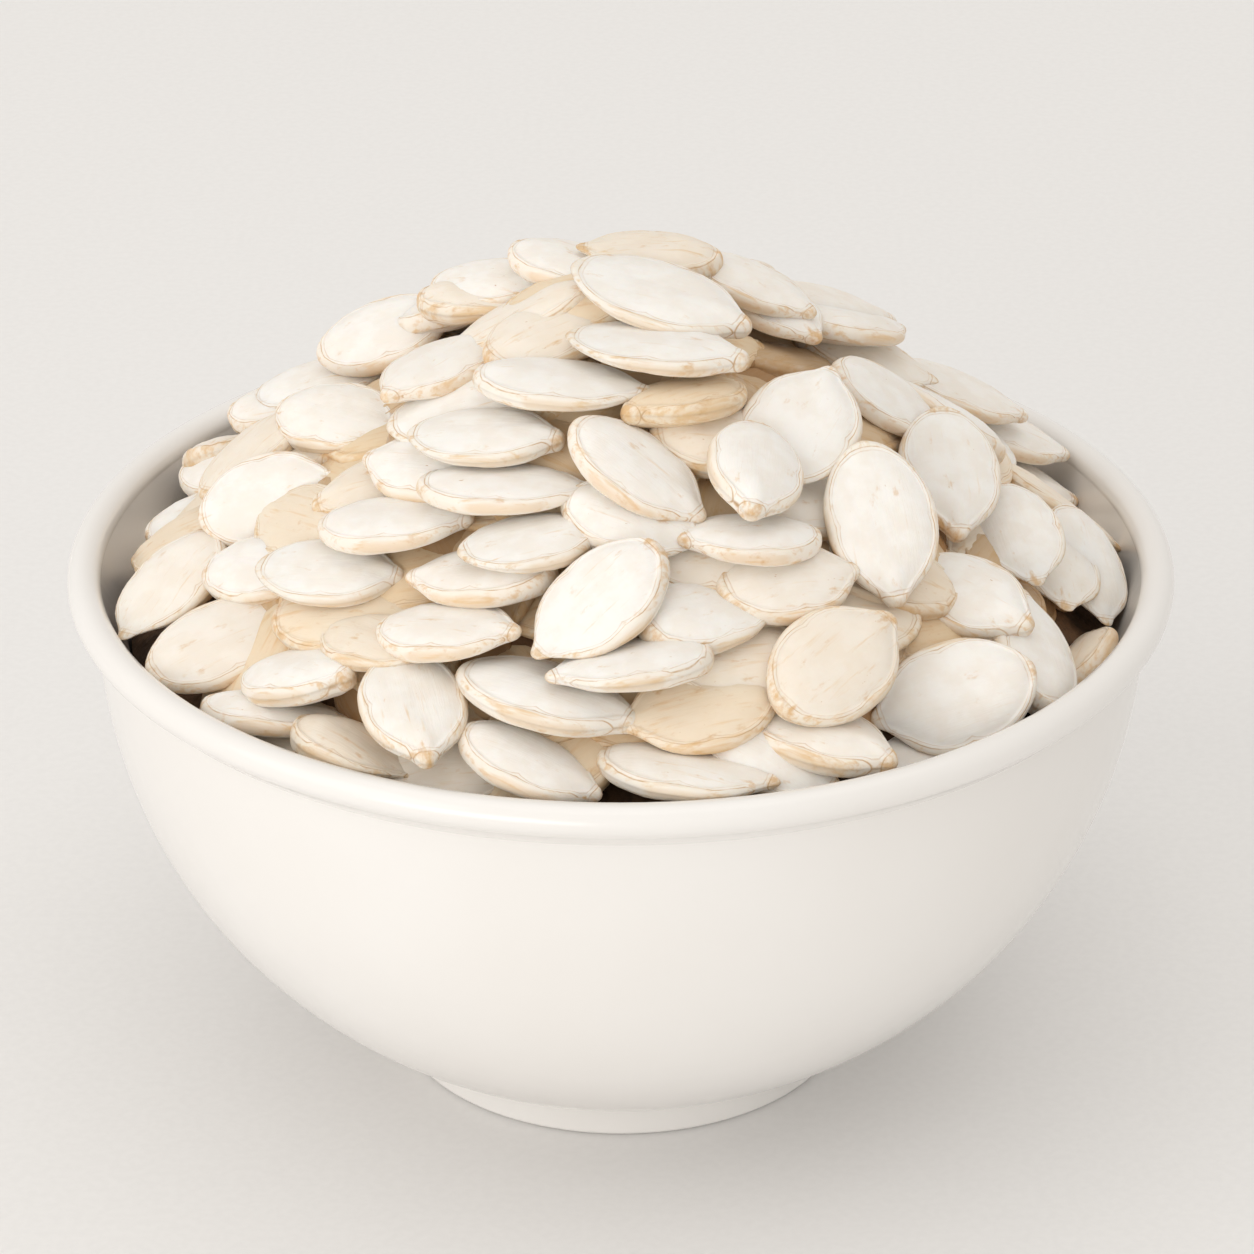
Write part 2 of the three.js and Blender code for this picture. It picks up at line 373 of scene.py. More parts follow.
class Shell(Surface):
    """The nodes of a seed's shell, from the values that each seed carries.

    seat is the place on the seed in millimetres, with its length along X. draw shifts the pattern
    of each seed. inset is the distance in from the outline in millimetres. Its brownness, partly its
    own colour and partly painted shade, runs from 0 to 1 where it shows, and up to 2 for one deep in
    the heap, where it paints dull brown shade.
    """

    def __init__(self):
        super().__init__("seed_shell")
        self.seat = self.attribute("seat", "Vector")
        self.tan = self.attribute("tan", "Fac")
        self.draw = self.attribute("draw", "Vector")
        shifted = self.node("VectorMath")
        shifted.operation = "ADD"
        self.feed(shifted.inputs[0], self.seat)
        self.feed(shifted.inputs[1], self.draw)
        self.grain = shifted.outputs["Vector"]
        wander = self.mapped(self.noise(self.grain, 0.35, detail=1), 0.3, 0.7, -0.05, 0.05)
        self.inset = self.total(self.attribute("inset", "Fac"), wander)
        self.rim_share = self.mapped(self.inset, 0.8, 1.6, 1.0, 0.0)
        self.streaks = self.stretched_noise(0.12, 1.4)

    def stretched_noise(self, along, across, detail=4, roughness=0.55):
        """Noise with one scale along the seed and another across it."""
        mapping = self.node("Mapping", Vector=self.grain, Scale=(along, across, across))
        return self.noise(mapping.outputs["Vector"], 1, detail=detail, roughness=roughness)

    def face(self):
        """Off-white in soft clouds. A browner seed's whole face is duller: partly its own colour and
        partly painted shade on a seed that lies in shade.
        """
        clouds = self.mapped(self.noise(self.grain, 0.3), 0.36, 0.64)
        pale = self.mixed(clouds, FACE_CREAM, FACE_PALE)
        tint_and_shade = self.mapped(self.tan, 0.3, 1.0, 0.0, 0.9, smooth=False)
        return self.mixed(tint_and_shade, pale, FACE_TAN_AND_SHADE)

    def rimmed(self, colour):
        """Adds a rim that is creamier than the face, and brown right at the outline: partly the
        shell's own edge colour and partly painted shade where the seeds touch.
        """
        creamier = self.mixed(self.product(self.rim_share, 0.5), colour, RIM_CREAM)
        edge_and_shade_share = self.mapped(self.inset, 0.0, 0.5, 0.45, 0.0)
        return self.mixed(edge_and_shade_share, creamier, EDGE_BROWN_AND_SHADE)

    def streaked(self, colour):
        """Adds brown lengthwise streaks, most of them on the rim and on a browner seed."""
        rim_stain = self.total(self.product(self.rim_share, 0.13), self.product(self.tan, 0.16))
        share = self.mapped(self.total(self.streaks, rim_stain), 0.66, 0.90, 0.0, 0.8)
        return self.mixed(share, colour, STREAK_BROWN)

    def patched(self, colour):
        """Adds brown patches, most of them at the two ends and on a browner seed."""
        length_place = self.node("SeparateXYZ", Vector=self.seat).outputs["X"]
        at_tip = self.mapped(length_place, 6.3, 9.4)
        at_end = self.mapped(length_place, -9.4, -7.0, 0.7, 0.0)
        near_edge = self.total(self.total(at_tip, at_end), self.product(self.rim_share, 0.4))
        browner = self.product(self.product(self.tan, 0.16), 0.5)
        stain = self.total(self.product(near_edge, 0.14), browner)
        patches = self.stretched_noise(0.35, 0.7, roughness=0.6)
        share = self.mapped(self.total(patches, stain), 0.635, 0.86, 0.0, 0.8)
        return self.mixed(share, colour, PATCH_BROWN)

    def line(self, start, peak, end, strength):
        """A thin line along the outline, between two insets in millimetres."""
        rise = self.mapped(self.inset, start, peak, 0.0, strength)
        fall = self.mapped(self.inset, peak, end, 1.0, 0.0)
        return self.product(rise, fall)

    def lined(self, colour):
        """Adds two thin brown lines where the face meets the rim, broken along their length."""
        outer_line = self.line(0.90, 1.0, 1.12, 1.0)
        inner_line = self.line(1.34, 1.46, 1.6, 0.5)
        both = self.calculated("MAXIMUM", outer_line, inner_line)
        broken = self.mapped(self.noise(self.grain, 0.5, detail=3), 0.36, 0.62, 0.35, 0.95)
        return self.mixed(self.product(both, broken), colour, LINE_BROWN)

    def marked(self, colour):
        """Adds a few brown marks in the middle of some seeds' faces."""
        marks = self.mapped(self.stretched_noise(0.7, 1.6, 3, 0.6), 0.70, 0.76, 0.0, 0.8)
        is_marked = self.mapped(self.noise(self.draw, 0.37, detail=0), 0.48, 0.56)
        in_middle = self.product(self.mapped(self.inset, 2.2, 3.4), is_marked)
        return self.mixed(self.product(marks, in_middle), colour, MARK_BROWN)

    def deep_shade_painted(self, colour):
        """Paints shade on the shells deep in the heap: dull brown, as the dark between the seeds."""
        dull = self.mapped(self.tan, 1.0, 1.6, 0.0, 0.85, smooth=False)
        return self.mixed(dull, colour, PAINTED_DEEP_SHADE)


def shell_material():
    """Dry woody seed shell: off-white faces, a creamier rim inside a thin brown line, and light
    brown stains at the tips and along the sides. Painted shade browns the outline where seeds touch
    and seeds that lie in shade, and makes shells deep in the heap dull brown."""
    shell = Shell()
    colour = shell.rimmed(shell.face())
    colour = shell.patched(shell.streaked(colour))
    colour = shell.marked(shell.lined(colour))
    shell.put("Base Color", shell.deep_shade_painted(colour))
    fibres = shell.stretched_noise(0.6, 6.0)
    shell.put("Roughness", shell.mapped(fibres, 0.3, 0.7, 0.5, 0.68))
    fibre_bump = shell.bump(fibres, distance=0.05 * MM, strength=0.4)
    streak_bump = shell.bump(shell.streaks, distance=0.2 * MM, strength=0.3, under=fibre_bump)
    shell.put("Normal", streak_bump)
    shell.put("Specular IOR Level", 0.28)
    shell.put("Subsurface Weight", 0.12)
    shell.put("Subsurface Radius", (1.0, 0.62, 0.36))
    shell.put("Subsurface Scale", 1.6 * MM)
    return shell.material


def core_material():
    """The shaded shells deep between the seeds."""
    shade = Surface("seed_shade")
    place = shade.place()
    patches = shade.mapped(shade.noise(place, 160), 0.4, 0.6)
    shade.put("Base Color", shade.mixed(patches, SHADE_DARK, SHADE_BROWN))
    shade.put("Normal", shade.bump(shade.noise(place, 300), distance=1.5 * MM, strength=0.8))
    shade.put("Roughness", 0.8)
    return shade.material


def table_material():
    """Pale plain surface under the bowl."""
    floor = Surface("pale_floor")
    grains = floor.mapped(floor.noise(floor.place(), 900, detail=3), 0.3, 0.7)
    floor.put("Base Color", floor.mixed(grains, FLOOR_LIGHTER, FLOOR_DARKER))
    floor.put("Roughness", 0.7)
    return floor.material


# ---------------- kinds of seed

# The rings of points on a face, from the outline inwards: how far in from the outline each lies
# and how high, in millimetres, on a seed 3.9 mm thick. A round rim, a groove and a crowned face.
RINGS = (
    (0.10, 0.42), (0.34, 0.80), (0.70, 1.02), (0.95, 0.96),
    (1.15, 1.02), (1.9, 1.40), (3.2, 1.70), (5.0, 1.90),
)
FACE_HEIGHT = 1.95
COLUMNS = 24
TOLERANCE = 0.01 * MM

# How wide the outline is against an ellipse, at each column of points from the blunt tip round to
# the other end. The tip is a narrow nub, of two columns, with hollow shoulders.
OUTLINE = (0.56, 0.43, 0.74, 0.93, 0.985, 1.0, 1.0, 0.985, 0.955, 0.90, 0.80)
NUB_COLUMNS = 2

# A kind of seed: its size in millimetres, how wide its nub is and how much wider one side is than
# the other, as shares, its bend in degrees and the depth of its dents in millimetres

SeedKind = namedtuple("SeedKind", "name length width thickness nub lopsided bend dents")
SEED_KINDS = (
    SeedKind("seeds_plain", 19.2, 12.8, 3.8, 1.00, 0.00, 6, 0.30),
    SeedKind("seeds_broad", 18.6, 13.6, 4.0, 1.10, 0.04, -5, 0.40),
    SeedKind("seeds_slender", 20.2, 12.0, 3.6, 0.90, -0.05, 8, 0.35),
    SeedKind("seeds_plump", 18.8, 12.9, 4.6, 1.15, 0.03, 0, 0.25),
    SeedKind("seeds_bent", 19.4, 12.4, 3.6, 0.95, 0.06, 16, 0.45),
    SeedKind("seeds_flat", 19.0, 13.1, 3.2, 1.00, -0.03, -9, 0.40),
)


def model_seed(kind, fine):
    """One seed about the origin: blunt tip towards +X, one face up, in metres. One that lies
    hidden under others has fewer faces."""
    deselect_all()
    bpy.ops.mesh.primitive_circle_add(vertices=COLUMNS, radius=1, fill_type="NGON")
    seed = bpy.context.object
    seed.name = seed.data.name = kind.name
    half = Vector((kind.length / 2, kind.width / 2)) * MM
    bpy.ops.object.mode_set(mode="EDIT")
    shape_outline(kind, half)
    raise_face(kind, half)
    bpy.ops.object.mode_set(mode="OBJECT")
    applied(seed, "MIRROR", "other_face", use_axis=(False, False, True), merge_threshold=0.001 * MM)
    bpy.ops.object.mode_set(mode="EDIT")
    bpy.ops.mesh.select_all(action="SELECT")
    bpy.ops.mesh.normals_make_consistent(inside=False)
    bpy.ops.object.mode_set(mode="OBJECT")
    if fine:
        applied(seed, "SUBSURF", "smoothed", levels=1, render_levels=1)
    store_seat(seed, half)
    dent(seed, kind)
    deselect_all()
    seed.select_set(True)
    bpy.ops.object.shade_smooth()
    return seed


def shape_outline(kind, half):
    """Turns the round outline into a seed's: longer than wide, with a nub at its tip."""
    bpy.ops.mesh.select_all(action="SELECT")
    bpy.ops.transform.rotate(value=math.pi / 2, orient_axis="Z", center_override=ORIGIN)
    bpy.ops.transform.resize(value=(half.x, half.y, 1), center_override=ORIGIN)
    for i, share in enumerate(OUTLINE):
        angle = 2 * math.pi * (i + 1) / COLUMNS
        x = half.x * math.cos(angle)
        if i < NUB_COLUMNS:
            share *= kind.nub
        select_points(lambda co: abs(co.x - x) < TOLERANCE)
        bpy.ops.transform.resize(value=(1, share, 1), center_override=ORIGIN)
    select_points(lambda co: co.y > 0)
    bpy.ops.transform.resize(value=(1, 1 + kind.lopsided, 1), center_override=ORIGIN)
    select_points(lambda co: co.y < 0)
    bpy.ops.transform.resize(value=(1, 1 - kind.lopsided, 1), center_override=ORIGIN)


def raise_face(kind, half):
    """Extrudes the outline up and inwards, ring by ring, and closes the face with a fan."""
    bpy.ops.mesh.select_all(action="SELECT")
    inset, height = 0, 0
    rise = kind.thickness / (2 * FACE_HEIGHT)
    for next_inset, next_height in RINGS:
        bpy.ops.mesh.extrude_region_move(
            TRANSFORM_OT_translate={"value": (0, 0, (next_height - height) * rise * MM)}
        )
        narrower = [(h - next_inset * MM) / (h - inset * MM) for h in half]
        bpy.ops.transform.resize(value=(*narrower, 1), center_override=ORIGIN)
        inset, height = next_inset, next_height
    bpy.ops.mesh.poke(offset=(FACE_HEIGHT - height) * rise * MM)
    select_faces(lambda face: len(face.verts) == COLUMNS)
    bpy.ops.mesh.delete(type="ONLY_FACE")


def store_seat(seed, half):
    """Keeps, for the shell's pattern, each point's place on the seed and its distance in from the
    outline, both in millimetres."""
    seat = seed.data.attributes.new("seat", "FLOAT_VECTOR", "POINT")
    seat.data.foreach_set("vector", [c for point in seed.data.vertices for c in point.co / MM])
    inset = seed.data.attributes.new("inset", "FLOAT", "POINT")
    on_outline = 0.05 * MM
    outline = [v.co.copy() for v in seed.data.vertices if abs(v.co.z) < on_outline]
    inset.data.foreach_set("value", [inset_of(v.co, outline, half) / MM for v in seed.data.vertices])


def inset_of(place, outline, half):
    """How far in from the outline a point lies, along the line to the middle, as on the rings."""
    length = place.xy.length
    if length < TOLERANCE:
        return half.y
    direction = place.xy / length
    nearby = 0.985  # the cosine of the angle to a point of the outline
    reach = max(p.xy.dot(direction) for p in outline if p.xy.normalized().dot(direction) > nearby)
    share = min(length / reach, 1.0)
    return (1 - share) * (half.y * abs(direction.y) + half.x * abs(direction.x))


def dent(seed, kind):
    """Shallow dents and a slight bend, as no dried seed is true."""
    clouds = bpy.data.textures.new(kind.name + "_dents", "CLOUDS")
    clouds.noise_scale = 4.5 * MM
    depth = kind.dents * MM
    applied(seed, "DISPLACE", "dented", texture=clouds, strength=depth, texture_coords="LOCAL")
    if kind.bend:
        bend = math.radians(kind.bend)
        applied(seed, "SIMPLE_DEFORM", "bent", deform_method="BEND", deform_axis="Y", angle=bend)


# ---------------- where the seeds lie

# The camera's own directions
VIEW_RIGHT = Vector((1, 0, 0))
VIEW_UP = Vector((0, math.sin(VIEW_ELEVATION), math.cos(VIEW_ELEVATION)))
TO_CAMERA = Vector((0, -math.cos(VIEW_ELEVATION), math.sin(VIEW_ELEVATION)))
CAMERA_PLACE = VIEW_TARGET + TO_CAMERA * VIEW_DISTANCE

# A seed of the heap: its kind by name, its place and turn, how brown it is, partly its own colour
# and partly painted shade, whether it is one with more faces, its middle, and its faces for finding
# what touches it
Placed = namedtuple("Placed", "kind matrix tan fine centre tree")


def heap_height(radius):
    """The height of the heap's outline at a distance from the axis, in metres."""
    share = radius / (HEAP_RADIUS * MM)
    return (HEAP_EDGE_HEIGHT + HEAP_RISE * (1 - share**HEAP_SLOPE_POWER)) * MM


def heap_normal(place):
    radius = max(place.xy.length, 1e-6)
    nudge = 0.5 * MM
    slope = (heap_height(radius + nudge) - heap_height(max(radius - nudge, 0))) / (2 * nudge)
    return Vector((-slope * place.x / radius, -slope * place.y / radius, 1)).normalized()


def inside_radius(height):
    """The radius of the bowl's inside at a height, in metres."""
    height = height / MM
    if height >= LIP_CENTRE_HEIGHT:
        return (LIP_RADIUS - 2 * LIP_ROLL) * MM
    if height >= FLARE_HEIGHT:
        share = (height - FLARE_HEIGHT) / (LIP_CENTRE_HEIGHT - FLARE_HEIGHT)
        low = wall_curve(FLARE_HEIGHT, FLARE_HEIGHT - 1, WALL, 1)[0][0]
        return (low + (LIP_RADIUS - 2 * LIP_ROLL - low) * share) * MM
    height = max(height, FLOOR_JOIN_HEIGHT)
    return wall_curve(height, height - 1, WALL, 1)[0][0] * MM


def towards_pixel(pixel):
    """The direction from the camera through a pixel of the photograph."""
    right = (pixel[0] - PHOTO_SIDE / 2) / PIXELS_ACROSS_A_RADIAN
    down = (pixel[1] - PHOTO_SIDE / 2) / PIXELS_ACROSS_A_RADIAN
    return (VIEW_RIGHT * right - VIEW_UP * down - TO_CAMERA).normalized()


def meets_heap(pixel):
    """Where the view through a pixel meets the heap's outline, or else comes nearest to it."""
    ray = towards_pixel(pixel)
    reach = 110
    nearest, best = None, 1.0
    for i in range(2 * reach):
        place = CAMERA_PLACE + ray * (VIEW_DISTANCE + (i - reach) * MM)
        above = place.z - heap_height(place.xy.length)
        if above < 0:
            return place
        if above < best:
            nearest, best = place, above
    return nearest


class Heap:
    """The seeds laid so far, and how the next one comes to rest on them."""

    def __init__(self, kinds):
        self.kinds = kinds
        self.shells = {name: shell_of(seed) for (name, fine), seed in kinds.items() if fine}
        self.seeds = []

    def tree(self, kind, matrix):
        points, faces = self.shells[kind]
        return BVHTree.FromPolygons([matrix @ p for p in points], faces)

    def cover(self, kind, matrix):
        """How far under the heap's outline the seed's outermost point lies."""
        points, _ = self.shells[kind]
        places = [matrix @ p for p in points[::9]]
        return min(heap_height(p.xy.length) - p.z for p in places)

    def brought_in(self, kind, matrix, outwards, depth):
        """Moves a seed in along a line until its outermost point is a depth under the heap's
        outline, or else to where that point comes nearest to it."""
        start = 16 * MM
        step = 1.0 * MM
        best, best_cover = matrix, -1
        for i in range(60):
            moved = Matrix.Translation(outwards * (start - i * step)) @ matrix
            cover = self.cover(kind, moved)
            if cover > best_cover:
                best, best_cover = moved, cover
            if cover >= depth * MM:
                break
        return best

    def settled(self, kind, matrix, outwards, depth, rise, sink):
        """Brings a seed in to its depth, then moves it out until it is clear of the seeds under
        it, or further in until it lies on them, within limits."""
        matrix = self.brought_in(kind, matrix, outwards, depth)
        centre = matrix.translation
        reach = (SEED_LENGTH + max(rise, sink)) * MM
        near = [s.tree for s in self.seeds if (s.centre - centre).length < reach]

        def touches(distance):
            tree = self.tree(kind, Matrix.Translation(outwards * distance) @ matrix)
            return any(tree.overlap(other) for other in near)

        step = 0.5 * MM
        distance = 0
        if touches(0):
            while distance < rise * MM and touches(distance):
                distance += step
        else:
            while distance > -sink * MM and not touches(distance - step):
                distance -= step
        return Matrix.Translation(outwards * distance) @ matrix

    def kept_inside(self, kind, matrix):
        """Moves a seed towards the axis until it is clear of the glaze."""
        points, _ = self.shells[kind]
        excess = 0
        for point in points[::3]:
            place = matrix @ point
            excess = max(excess, place.xy.length - inside_radius(place.z) + WALL_CLEARANCE * MM)
        outwards = Vector((matrix.translation.x, matrix.translation.y, 0)).normalized()
        return Matrix.Translation(-outwards * excess) @ matrix

    def add(self, kind, matrix, tan, fine):
        centre = matrix.translation.copy()
        self.seeds.append(Placed(kind, matrix, tan, fine, centre, self.tree(kind, matrix)))


def shell_of(seed):
    """A seed's points and faces, drawn in a little so that seeds at rest touch. The points are
    sorted by their place, because their order in the mesh can differ from run to run."""
    drawn_in = Vector((0.95, 0.95, 0.88))
    vertices = sorted(seed.data.vertices, key=lambda v: v.co[:])
    number = {v.index: i for i, v in enumerate(vertices)}
    faces = [tuple(number[v] for v in face.vertices) for face in seed.data.polygons]
    return [v.co * drawn_in for v in vertices], faces


def pose(centre, along, across, sizes):
    """The matrix of a seed with its length and width along these directions."""
    along = along.normalized()
    facing = along.cross(across).normalized()
    across = facing.cross(along)
    turn = Matrix((along, across, facing)).transposed().to_4x4()
    return Matrix.Translation(centre) @ turn @ Matrix.Diagonal((*sizes, 1))


# How deep under the heap's outline the outermost point of a seed in each layer lies, in mm
LAYER_DEPTHS = {0: 6.4, 1: 4.8, 2: 3.2, 3: 1.8, 4: 0.6}
TOP_LAYER = 4
FLAT_LAYERS = (0, 1)
# How far a seed may move out of its layer to lie clear of those under it, in mm
LAYER_RISE = 2.4
TOP_LAYER_RISE = 4.5
LAYER_SINK = 1.5

# A coat laid by a rule, in mm: the depth of its seeds' outermost points, how far each may rise
# clear of others or sink onto them, the radius of its first ring, and its steps. Then how far its
# seeds lean, how brown they are, which in the deeper coats is painted shade, and whether they have
# more faces.
Coat = namedtuple(
    "Coat",
    "depth rise sink first_radius ring_step seed_step tilt tans fine",
)
# The bottom and middle coats run brown past 1: dull brown painted shade deep in the heap
BOTTOM_COAT = Coat(
    depth=9.6, rise=0.8, sink=1.5, first_radius=51, ring_step=7.5, seed_step=12, tilt=0.12,
    tans=(1.4, 1.6), fine=False,
)
MIDDLE_COAT = Coat(
    depth=8.0, rise=0.6, sink=1.0, first_radius=47, ring_step=8.5, seed_step=12, tilt=0.12,
    tans=(0.95, 1.35), fine=False,
)
WALL_COAT = Coat(
    depth=6.4, rise=1.0, sink=1.0, first_radius=51.5, ring_step=52, seed_step=13, tilt=0.15,
    tans=(0.5, 0.95), fine=False,
)
BACK_COATS = (
    Coat(
        depth=5.0, rise=1.5, sink=1.0, first_radius=53.5, ring_step=9.5, seed_step=13, tilt=0.15,
        tans=(0.3, 1.0), fine=True,
    ),
    Coat(
        depth=3.0, rise=2.0, sink=1.5, first_radius=52, ring_step=10.5, seed_step=14, tilt=0.2,
        tans=(0.1, 0.8), fine=True,
    ),
    Coat(
        depth=1.0, rise=1.5, sink=2.0, first_radius=50, ring_step=11, seed_step=16, tilt=0.2,
        tans=(0.0, 0.6), fine=True,
    ),
)
# The seeds of a coat vary in place, as a share of a step, and in size
PLACE_SPREAD = 0.25
COAT_SIZES = (0.88, 1.08)
# Near the wall they lie along it, to within this spread in radians
WALL_RING_RADIUS = 46  # mm
HEADING_SPREAD = 0.5

# A seed as the photograph shows it: the pixels of its tip and blunt end, how many pixels it
# measures across them, its layer from 0, deepest, to 4, and how brown it is from 0 to 1, partly
# its own colour and partly painted shade on a seed that lies in shade
Seen = namedtuple("Seen", "tip end across layer tan")
SEEN_SEEDS = (
    # The crown of the heap
    Seen(tip=(753, 332), end=(570, 262), across=78, layer=3, tan=0.15),
    Seen(tip=(640, 290), end=(508, 246), across=54, layer=2, tan=0.15),
    Seen(tip=(602, 250), end=(697, 262), across=46, layer=1, tan=0.6),
    Seen(tip=(820, 345), end=(722, 268), across=62, layer=2, tan=0.3),
    Seen(tip=(805, 312), end=(700, 262), across=58, layer=1, tan=0.35),
    Seen(tip=(751, 363), end=(564, 333), across=55, layer=3, tan=0.3),
    Seen(tip=(563, 300), end=(414, 302), across=44, layer=3, tan=0.55),
    Seen(tip=(545, 290), end=(440, 282), across=38, layer=1, tan=0.3),
    Seen(tip=(462, 310), end=(314, 358), across=74, layer=2, tan=0.1),
    Seen(tip=(384, 402), end=(494, 338), across=62, layer=3, tan=0.35),
    Seen(tip=(612, 306), end=(498, 360), across=56, layer=1, tan=0.55),
    Seen(tip=(655, 393), end=(471, 376), across=54, layer=3, tan=0.1),
    Seen(tip=(622, 418), end=(742, 386), across=44, layer=2, tan=0.9),
    Seen(tip=(790, 440), end=(663, 442), across=42, layer=0, tan=0.6),
    Seen(tip=(835, 366), end=(765, 486), across=122, layer=3, tan=0.1),
    Seen(tip=(750, 518), end=(757, 423), across=102, layer=4, tan=0.15),
    # The right shoulder
    Seen(tip=(908, 327), end=(790, 325), across=38, layer=2, tan=0.35),
    Seen(tip=(930, 378), end=(800, 342), across=60, layer=1, tan=0.45),
    Seen(tip=(872, 316), end=(790, 303), across=24, layer=1, tan=0.4),
    Seen(tip=(950, 425), end=(828, 376), across=60, layer=2, tan=0.15),
    Seen(tip=(1012, 412), end=(905, 375), across=26, layer=1, tan=0.35),
    Seen(tip=(1055, 451), end=(955, 418), across=34, layer=1, tan=0.35),
    Seen(tip=(1091, 493), end=(985, 464), across=34, layer=1, tan=0.4),
    Seen(tip=(957, 543), end=(945, 403), across=107, layer=4, tan=0.2),
    Seen(tip=(1012, 484), end=(965, 425), across=56, layer=1, tan=0.2),
    Seen(tip=(897, 609), end=(862, 439), across=117, layer=4, tan=0.15),
    Seen(tip=(1036, 588), end=(998, 486), across=92, layer=3, tan=0.1),
    Seen(tip=(1060, 603), end=(1038, 520), across=46, layer=1, tan=0.4),
    Seen(tip=(1116, 628), end=(1073, 505), across=74, layer=3, tan=0.2),
    Seen(tip=(1118, 636), end=(1068, 700), across=34, layer=2, tan=0.7),
    Seen(tip=(1032, 630), end=(905, 568), across=86, layer=3, tan=0.3),
    Seen(tip=(1030, 588), end=(1050, 718), across=82, layer=2, tan=0.2),
    Seen(tip=(868, 722), end=(1038, 668), across=120, layer=4, tan=0.05),
    # The middle
    Seen(tip=(706, 522), end=(570, 422), across=76, layer=3, tan=0.25),
    Seen(tip=(567, 441), end=(405, 432), across=62, layer=3, tan=0.25),
    Seen(tip=(525, 398), end=(405, 424), across=46, layer=1, tan=0.25),
    Seen(tip=(360, 457), end=(500, 478), across=52, layer=1, tan=0.15),
    Seen(tip=(596, 491), end=(414, 486), across=52, layer=3, tan=0.1),
    Seen(tip=(477, 519), end=(315, 529), across=54, layer=3, tan=0.1),
    Seen(tip=(345, 500), end=(430, 480), across=46, layer=0, tan=0.6),
    Seen(tip=(606, 530), end=(457, 556), across=58, layer=3, tan=0.3),
    Seen(tip=(403, 578), end=(560, 575), across=58, layer=2, tan=0.35),
    Seen(tip=(692, 540), end=(574, 506), across=46, layer=1, tan=0.3),
    Seen(tip=(532, 658), end=(662, 545), across=98, layer=4, tan=0.3),
    Seen(tip=(776, 590), end=(642, 638), across=84, layer=2, tan=0.2),
    Seen(tip=(676, 541), end=(823, 538), across=50, layer=3, tan=0.15),
    Seen(tip=(842, 573), end=(735, 592), across=44, layer=1, tan=0.45),
    Seen(tip=(860, 500), end=(780, 505), across=44, layer=0, tan=0.4),
    Seen(tip=(760, 565), end=(660, 560), across=40, layer=0, tan=0.5),
    # The left side
    Seen(tip=(345, 395), end=(238, 412), across=40, layer=1, tan=0.35),
    Seen(tip=(385, 374), end=(262, 398), across=32, layer=1, tan=0.3),
    Seen(tip=(400, 430), end=(275, 412), across=76, layer=3, tan=0.35),
    Seen(tip=(385, 452), end=(246, 440), across=48, layer=1, tan=0.3),
    Seen(tip=(320, 462), end=(164, 475), across=50, layer=1, tan=0.1),
    Seen(tip=(343, 477), end=(196, 523), across=98, layer=3, tan=0.2),
    Seen(tip=(260, 505), end=(160, 532), across=44, layer=1, tan=0.15),
    Seen(tip=(124, 641), end=(213, 533), across=78, layer=3, tan=0.45),
    Seen(tip=(408, 578), end=(253, 566), across=70, layer=3, tan=0.1),
    Seen(tip=(330, 560), end=(217, 578), across=50, layer=1, tan=0.05),
    Seen(tip=(297, 606), end=(146, 680), across=88, layer=3, tan=0.45),
    Seen(tip=(400, 612), end=(300, 622), across=40, layer=1, tan=0.8),
    Seen(tip=(523, 632), end=(375, 632), across=57, layer=3, tan=0.35),
    Seen(tip=(440, 655), end=(323, 637), across=58, layer=2, tan=0.65),
    Seen(tip=(357, 678), end=(244, 677), across=53, layer=3, tan=0.2),
    # The front, along the lip
    Seen(tip=(353, 724), end=(198, 706), across=38, layer=2, tan=0.3),
    Seen(tip=(421, 777), end=(291, 728), across=44, layer=3, tan=0.6),
    Seen(tip=(330, 768), end=(245, 744), across=26, layer=0, tan=0.6),
    Seen(tip=(428, 767), end=(395, 652), across=110, layer=4, tan=0.35),
    Seen(tip=(484, 780), end=(413, 788), across=34, layer=1, tan=0.5),
    Seen(tip=(603, 798), end=(457, 732), across=60, layer=3, tan=0.1),
    Seen(tip=(641, 724), end=(454, 672), across=64, layer=3, tan=0.1),
    Seen(tip=(544, 678), end=(715, 655), across=48, layer=4, tan=0.1),
    Seen(tip=(638, 722), end=(760, 697), across=66, layer=1, tan=0.8),
    Seen(tip=(790, 655), end=(700, 668), across=44, layer=0, tan=0.6),
    Seen(tip=(783, 787), end=(596, 763), across=54, layer=3, tan=0.35),
    Seen(tip=(896, 616), end=(777, 714), across=120, layer=4, tan=0.55),
    Seen(tip=(897, 766), end=(743, 712), across=62, layer=3, tan=0.4),
    Seen(tip=(965, 752), end=(885, 778), across=40, layer=0, tan=0.1),
    Seen(tip=(800, 770), end=(738, 742), across=40, layer=0, tan=0.2),
)
# How the seeds that show vary, as shares of their usual size
SEEN_SIZES = (0.95, 1.05)
SEEN_THICKNESSES = (0.92, 1.08)
LEAST_LENGTH = 0.9
# The most of its length and of its width that a seed shows
MOST_LENGTH_SHOWN = 0.985
MOST_WIDTH_SHOWN = 0.99
MOST_FLAT_SHOWN = 0.995
LEAST_FLAT_SHOWN = 0.1
# How much of half a seed's thickness shows beside its flat width when it is seen edge on
RIM_SHOWN = 0.6
# How much more level than the heap's outline the seeds lie
SEEN_LEVELLING = 0.8
COAT_LEVELLING = 0.5
# A seed's kind is the nearest in shape, give or take this much of its width to length
KIND_SPREAD = 0.12


